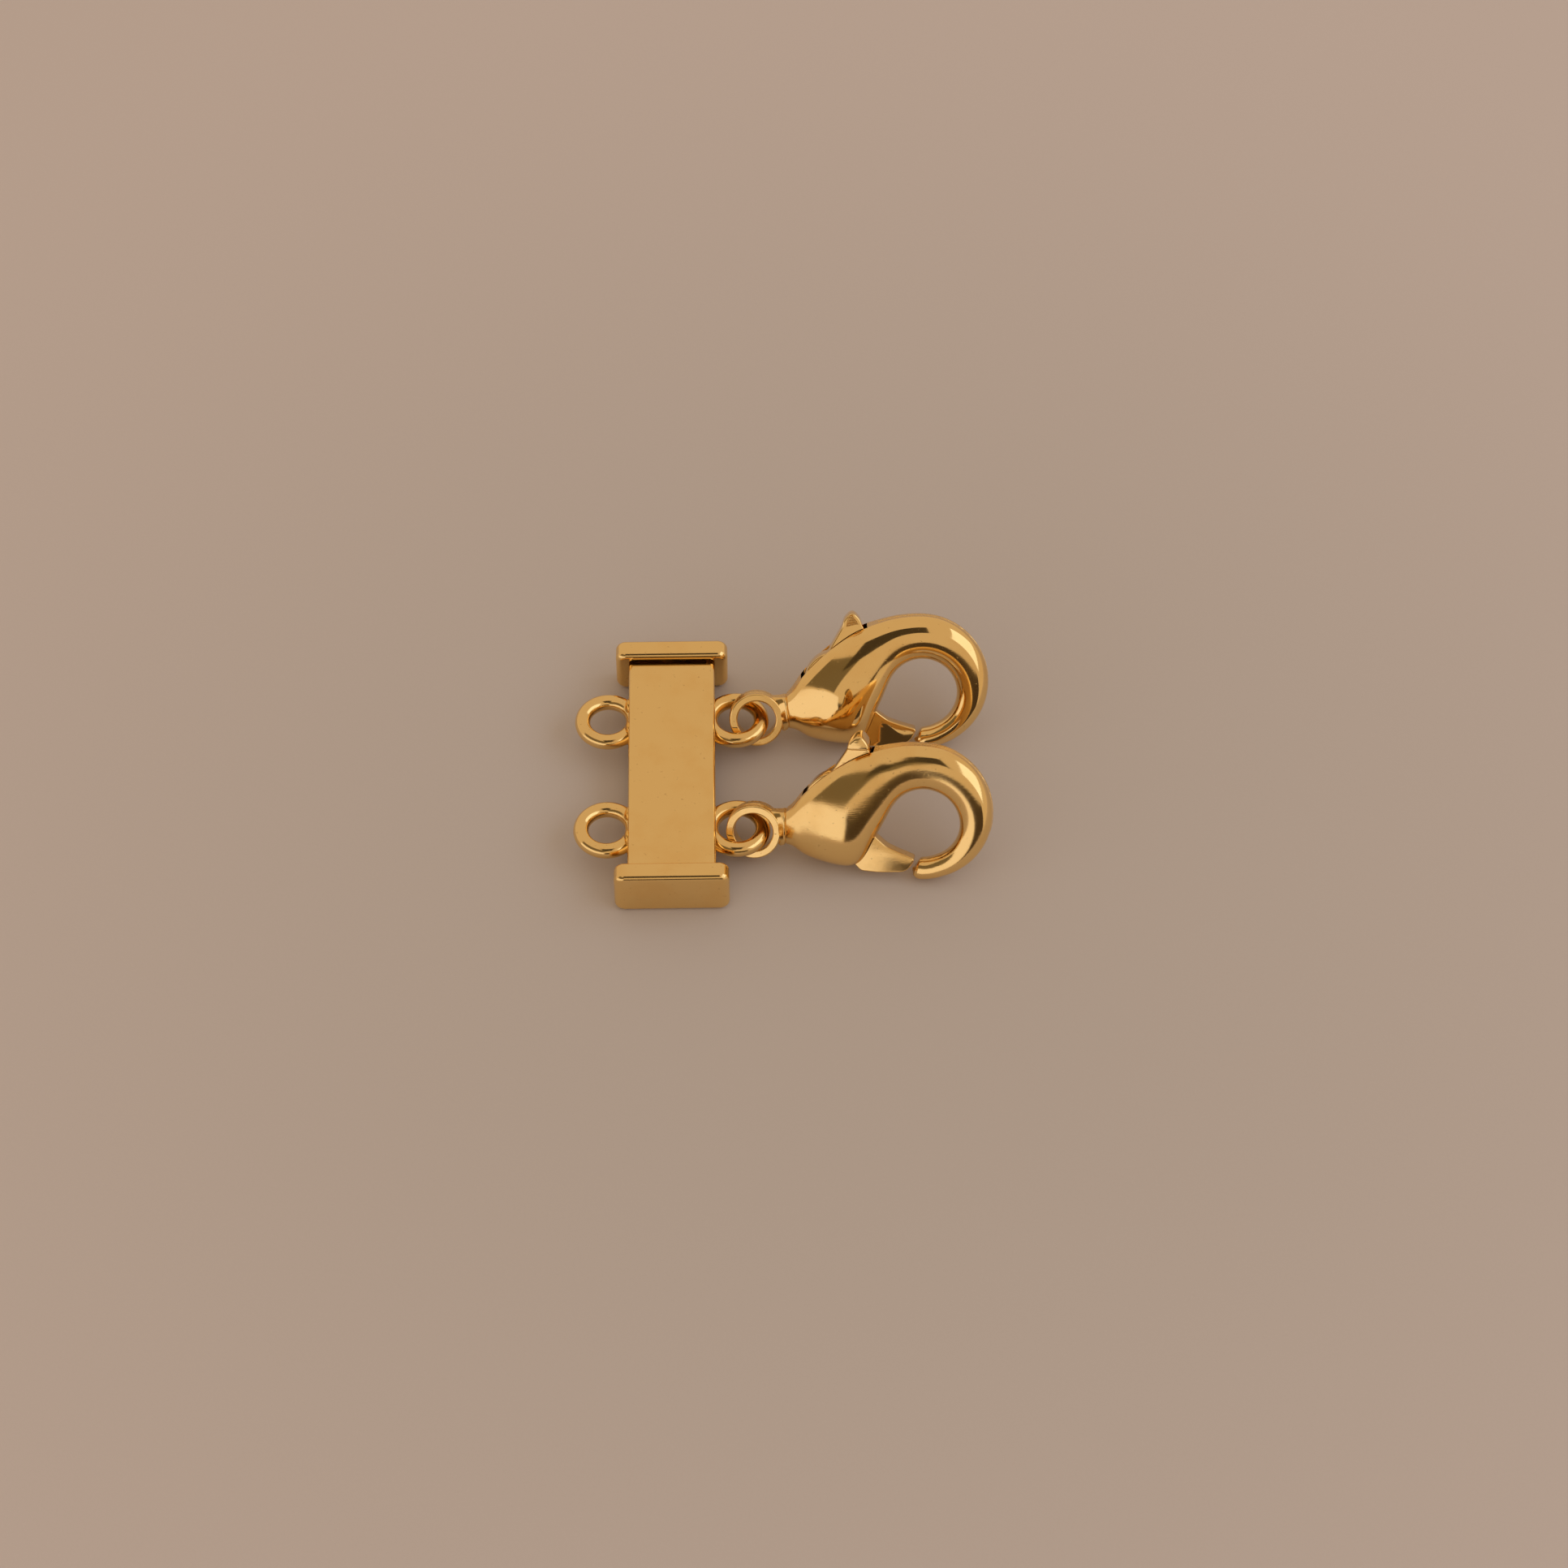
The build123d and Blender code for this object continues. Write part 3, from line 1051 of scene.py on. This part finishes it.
    def even_rows(self, gap: float, extra: Sequence[float] = ()) -> tuple[np.ndarray, np.ndarray]:
        """Closely spaced rows through the sections, evened out between the neck and the tip.

        Args:
            gap: distance between the rows.
            extra: more places along the run that get a row.

        Returns:
            The places of the rows along the run, and the rows.
        """
        places, rows = through_rows(self.sections(), gap, extra)
        start, before_tip = self.even_range
        return places, eased(places, rows, self.evenness, start, places[-1] - before_tip)

    def oval(self, wall: float) -> np.ndarray:
        """Squared oval whose outer side is cut off flat.

        Args:
            wall: half width of the flat side as a share of half the depth.

        Returns:
            The points, each from -1 to 1 from inner to outer side and from back to front.
        """
        edge = np.arcsin(np.clip(wall, 0.03, 0.95) ** (1 / self.squareness))
        angles = np.linspace(edge, 2 * pi - edge, self.curved)
        flat = np.stack([np.cos(angles), np.sin(angles)], 1)
        flat = np.sign(flat) * np.abs(flat) ** self.squareness
        reach = flat[0, 0]
        rise = np.linspace(flat[-1, 1], flat[0, 1], self.across + 2)[1:-1]
        ring = np.concatenate([flat, np.stack([np.full(self.across, reach), rise], 1)])
        ring[:, 0] = (ring[:, 0] + 1) * 2 / (reach + 1) - 1
        return ring

    def prism(self, name: str, outline: Sequence[Point], low: float, high: float) -> bpy.types.Object:
        """Straight block over an outline of the flat frame, between two depths."""
        rings = [self.laid_ring(np.array([(x, y, z) for x, y in outline])) for z in (low, high)]
        return Shape().loft(rings).finish(name)

    def bail(self, materials: Sequence[bpy.types.Material]) -> bpy.types.Object:
        """Bail: a flat ring with rounded edges and a low parting ridge round its outer wall.

        Args:
            materials: the plating, and the cast finish of the outer wall.

        Returns:
            The bail's object.
        """
        half = self.bail_band / 2
        flat = rounded_rectangle(self.bail_band, self.bail_thickness, self.bail_edge, 7)
        proud = half + self.bail_ridge
        flat = np.concatenate([flat, [(half, -0.09), (proud, -0.02), (proud, 0.03), (half, 0.10)]])
        middle = self.bail_hole + half
        rings = []
        for turn in np.linspace(0, 2 * pi, 120, endpoint=False):
            ring = [((middle + px) * cos(turn), (middle + px) * sin(turn), pz) for px, pz in flat]
            rings.append(self.laid_ring(np.array(ring)))
        rim = flat[:, 0] > half - 0.001
        wall = [k for k in range(len(flat)) if rim[k] and rim[(k + 1) % len(flat)]]
        return Shape().loft(rings, round_trip=True, second=wall).finish("bail", materials)

    def body(self, materials: Sequence[bpy.types.Material]) -> bpy.types.Object:
        """Swelling body and hook with the bail joined on and the lever's slot cut out.

        Args:
            materials: the plating, and the cast finish of the outer wall.

        Returns:
            The body's object.
        """
        rings = []
        rows = self.even_rows(0.1, self.crease_place + np.linspace(-0.14, 0.14, 15))
        for place, (x1, y1, x2, y2, depth, wall) in zip(*rows):
            span = np.array((x2 - x1, y2 - y1))
            middle = np.array((x1 + x2, y1 + y2)) / 2
            off_crease = (place - self.crease_place) / self.crease_width
            pinch = 1 - self.crease_depth * np.exp(-(off_crease**2))
            oval = self.oval(wall) * pinch
            spread = middle + oval[:, :1] * span / 2
            ring = np.column_stack([spread, oval[:, 1] * max(depth, 0.01) / 2])
            rings.append(self.laid_ring(ring))
        wall = range(self.curved - 1, len(rings[0]))
        piece = Shape().loft(rings, second=wall).finish(f"{self.name}_cast_body", materials)
        carved(piece, self.bail(materials), Cut.JOIN)
        half = self.slot_width / 2
        carved(piece, self.prism("slot", self.shares(self.slot_corners), -half, half), Cut.REMOVE)
        outward(piece)
        return smoothed(piece, 24.0)

    def thumb_place(self, corners: Sequence[Point]) -> list[Point]:
        """Points of the thumb piece from shares of its width and height."""
        foot = self.thumb_foot * self.body_height
        return [(self.thumb_reach + x * self.thumb_width, foot + y * self.thumb_height) for x, y in corners]

    def gate_outline(self) -> list[Point]:
        """Corners of the gate's end, facing the hook's end.

        Returns:
            The corners.
        """
        (eye, inset), *rims = self.gate_corners
        ends = [self.rim_point(rim, rim_inset * self.tip_band) for rim, rim_inset in rims]
        return [self.eye_point(eye, inset * self.tip_band), *ends]

    def hub_outline(self) -> list[Point]:
        """Points of the hub's round edge.

        Returns:
            The points.
        """
        x, y = self.pivot
        turns = [radians(a) for a in self.hub_angles]
        return [(x + self.hub_radius * cos(t), y + self.hub_radius * sin(t)) for t in turns]

    def plate(self, name: str, outline: Sequence[Point], thickness: float, edge: float) -> bpy.types.Object:
        """Plate over an outline of the flat frame with softly rounded edges.

        Args:
            name: the object's name.
            outline: its outline.
            thickness: its thickness.
            edge: how far its edges are rounded.

        Returns:
            The plate's object.
        """
        piece = self.prism(name, outline, -thickness / 2, thickness / 2)
        work = bmesh.new()
        work.from_mesh(piece.data)
        rims = [e for e in work.edges if any(len(f.verts) > 6 for f in e.link_faces)]
        bmesh.ops.bevel(work, geom=rims, offset=edge * MM, segments=4, profile=0.5, affect="EDGES")
        work.to_mesh(piece.data)
        work.free()
        return piece

    def lever(self) -> bpy.types.Object:
        """Lever plate with its gate, its wider thumb piece and the hole for the pin.

        Returns:
            The lever's object.
        """
        narrow, low = self.thumb_core
        corners = self.thumb_place([(narrow * x, low * y) for x, y in self.thumb])
        corners += self.shares(self.lever_upper) + self.gate_outline()
        corners += self.shares(self.lever_lower) + self.hub_outline()
        thickness = self.slot_width - 2 * self.lever_clearance
        outline = rounded_outline(corners, self.lever_corner)
        piece = self.plate(f"{self.name}_gate_lever", outline, thickness, self.lever_edge)
        half = self.thumb_thickness / 2
        outline = rounded_outline(self.thumb_place(self.thumb), self.thumb_corner)
        pad = self.plate("thumb", outline, 2 * half, self.thumb_edge)
        if self.hatched:
            recess = rounded_outline(self.thumb_place(self.hatch_field), 0.08)
            carved(pad, self.prism("recess", recess, half - self.hatch_depth, half + 0.1), Cut.REMOVE)
        carved(piece, pad, Cut.JOIN)
        turns = np.linspace(0, 2 * pi, 40, endpoint=False)
        x, y = self.pivot
        hole = [(x + self.pin_hole * cos(t), y + self.pin_hole * sin(t)) for t in turns]
        carved(piece, self.prism("hole", hole, -1.0, 1.0), Cut.REMOVE)
        outward(piece)
        return smoothed(piece, 30.0)

    def hatch(self, ribs: GeometryTree, material: bpy.types.Material) -> bpy.types.Object:
        """Fine slanting ribs on the floor of the thumb piece's recess.

        Args:
            ribs: the tree that sweeps a bead along a path.
            material: the ribs' material.

        Returns:
            The ribs' object.
        """
        starts = self.thumb_place([(-0.24, y) for y in np.linspace(0.14, 0.78, self.hatch_ribs)])
        stops = self.thumb_place([(0.28, y) for y in np.linspace(0.30, 0.86, self.hatch_ribs)])
        depth = self.thumb_thickness / 2 - self.hatch_depth
        area = self.thumb_place(self.hatch_field)
        low, high = min(p[0] for p in area), max(p[0] for p in area)
        ends = []
        for (x1, y1), (x2, y2) in zip(starts, stops):
            narrow = 0.5 * (y1 - starts[0][1]) / (starts[-1][1] - starts[0][1])
            left = low + 0.04 + 0.25 * narrow * (high - low)
            right = high - 0.05 - 0.75 * narrow * (high - low)
            slope = (y2 - y1) / (x2 - x1)
            ends.append([self.laid(x, y1 + slope * (x - x1), depth) for x in (left, right)])
        line = paths_object(f"{self.name}_hatch", ends)
        ribs.run(line, {"Radius": self.hatch_radius * MM, "Seed": 9, "Material": material})
        return smoothed(line, 60.0)

    def seam(self, tree: GeometryTree, material: bpy.types.Material) -> bpy.types.Object:
        """Fine cast seam along the outer rim of the hook.

        Args:
            tree: the tree that sweeps a bead along a path.
            material: the seam's material.

        Returns:
            The seam's object.
        """
        rows = self.even_rows(0.12)[1]
        start = int(len(rows) * self.seam_start)
        path = []
        for x1, y1, x2, y2, *_ in rows[start:-5]:
            out = np.array((x2 - x1, y2 - y1))
            x, y = np.array((x2, y2)) - out / np.linalg.norm(out) * self.seam_depth
            path.append(self.laid(x, y, 0.0))
        line = paths_object(f"{self.name}_seam", [path])
        tree.run(line, {"Radius": self.seam_radius * MM, "Seed": 5, "Material": material})
        return smoothed(line, 60.0)

    def build(self, seams: GeometryTree) -> None:
        """Builds the clasp's pieces, dresses them and sets them on their bodies.

        Args:
            seams: the tree that sweeps a bead along a path.
        """
        gold, cast = self.finish.make(), CAST_GOLD.make()
        lever_body = self.name.split("_")[0] + "_lever"
        cast_body, lever, seam = self.body([gold, cast]), self.lever(), self.seam(seams, cast)
        lever.data.materials.append(gold)
        sides = {cast_body: "sliding_half", seam: "sliding_half", lever: lever_body}
        if self.hatched:
            sides[self.hatch(seams, cast)] = lever_body
        for piece, body in sides.items():
            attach(piece, body)
            LOG.info("%s: %d faces", piece.name, len(piece.data.polygons))
        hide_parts(f"{self.name}_body")
        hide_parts(f"{self.name}_lever")


# Studio


def sheet(name: str, w: float, h: float, place: Matrix, material: bpy.types.Material) -> bpy.types.Object:
    """Flat rectangle with its place in its mesh.

    Args:
        name: the object's name.
        w: half its width in metres.
        h: half its height in metres.
        place: where its middle lies and how it is turned.
        material: its material.

    Returns:
        The sheet's object.
    """
    mesh = bpy.data.meshes.new(name)
    corners = [place @ Vector(c) for c in ((-w, -h, 0), (w, -h, 0), (w, h, 0), (-w, h, 0))]
    mesh.from_pydata(corners, [], [(0, 1, 2, 3)])
    mesh.materials.append(material)
    return placed(name, mesh)


@dataclass(frozen=True)
class Panel:
    """A soft box or a card, by its direction from the clasp, its size in degrees and its glow.

    A soft box's glow comes on top of the air's behind it.
    """

    name: str
    azimuth: float
    elevation: float
    wide: float
    high: float
    colour: Colour
    distance: float = 0.45

    def place(self) -> Matrix:
        """Where the panel stands, facing the clasp.

        Returns:
            The place and the turn.
        """
        az, el = radians(self.azimuth), radians(self.elevation)
        out = Vector((cos(az) * cos(el), sin(az) * cos(el), sin(el)))
        turn = out.to_track_quat("Z", "Y").to_matrix().to_4x4()
        return Matrix.Translation(out * self.distance) @ turn

    def size(self) -> Point:
        """Width and height in metres."""
        return tuple(2 * self.distance * tan(radians(a / 2)) for a in (self.wide, self.high))

    def light(self) -> bpy.types.Object:
        """Makes the panel as an area light that the camera doesn't see, as bright as its colour.

        Returns:
            The light's object.
        """
        lamp = bpy.data.lights.new(self.name, "AREA")
        lamp.shape = "RECTANGLE"
        lamp.size, lamp.size_y = self.size()
        lamp.energy = pi * lamp.size * lamp.size_y
        lamp.color = self.colour
        piece = placed(self.name, lamp)
        piece.matrix_world = self.place()
        piece.visible_camera = False
        return piece

    def card(self) -> bpy.types.Object:
        """Makes the panel as a card that only reflections show.

        Returns:
            The card's object.
        """
        w, h = (length / 2 for length in self.size())
        piece = sheet(self.name, w, h, self.place(), CardFinish(self.name, self.colour).make())
        piece.visible_camera = False
        piece.visible_diffuse = False
        piece.visible_shadow = False
        return piece


@dataclass
class Studio:
    """Camera, floor and lights, as in the photograph."""

    elevation: float = 52.0
    azimuth: float = 0.921
    distance: float = 0.2
    lens: float = 99.2
    target: Vector = field(default_factory=lambda: Vector((0.0465, 0.208, 0.0)) * MM)
    floor_reach: float = 2.0
    air: Colour = (0.63, 0.49, 0.355)
    boxes: tuple[Panel, ...] = (
        Panel("key_box", -12.0, 38.0, 62.0, 34.0, (0.56, 0.68, 0.86)),
        Panel("fill_box", 224.0, 14.0, 72.0, 26.0, (0.32, 0.34, 0.42)),
    )
    cards: tuple[Panel, ...] = (
        Panel("camera_card", -92.0, 62.0, 22.0, 30.0, (0.06, 0.045, 0.03), 0.26),
        Panel("west_card", 222.0, 44.0, 62.0, 30.0, (0.17, 0.13, 0.08), 0.44),
        Panel("low_card", -79.0, 10.0, 38.0, 20.0, (0.06, 0.04, 0.025), 0.44),
    )

    def build(self) -> None:
        """Builds the camera, the floor, the lights and the cards."""
        bpy.context.scene.view_settings.view_transform = "Standard"
        self._camera()
        self._floor()
        self._air()
        for box in self.boxes:
            box.light()
        for card in self.cards:
            card.card()

    def _camera(self) -> None:
        """Sets the camera at the photograph's angle."""
        az, el = radians(self.azimuth), radians(self.elevation)
        view = Vector((sin(az) * cos(el), cos(az) * cos(el), -sin(el)))
        lens = bpy.data.cameras.new("photo_camera")
        lens.lens, lens.sensor_width, lens.clip_start = self.lens, 36.0, 0.01
        camera = placed("photo_camera", lens)
        camera.location = self.target - view * self.distance
        camera.rotation_euler = view.to_track_quat("-Z", "Y").to_euler()
        bpy.context.scene.camera = camera

    def _floor(self) -> None:
        """Lays the backdrop paper."""
        floor = sheet("floor", self.floor_reach, self.floor_reach, Matrix(), PaperFinish().make())

    def _air(self) -> None:
        """Sets the soft light that comes from all round."""
        world = bpy.data.worlds.new("studio_air")
        world.use_nodes = True
        sky = world.node_tree.nodes["Background"]
        sky.inputs["Color"].default_value = (*self.air, 1.0)
        sky.inputs["Strength"].default_value = 1.0
        bpy.context.scene.world = world


def main() -> None:
    """Builds the clasp's pieces in order, then the studio."""
    logging.basicConfig(level=logging.INFO, format="%(message)s")
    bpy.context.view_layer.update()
    SlideClasp().build()
    seams = seam_tree()
    upper = LobsterClasp("upper_lobster", lean=54.0, turn=0.0, rise=0.75, finish=MIRROR_GOLD, hatched=True)
    upper.build(seams)
    lower = LobsterClasp("lower_lobster", lean=56.0, turn=-8.0, rise=0.7, finish=BRUSHED_GOLD, hatched=False)
    lower.build(seams)
    pin_brass = PIN_BRASS.make()
    for name in ("upper_lobster_pin", "lower_lobster_pin"):
        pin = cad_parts[name]
        pin.data.materials.clear()
        pin.data.materials.append(pin_brass)
    Studio().build()


if __name__ == "__main__":
    main()
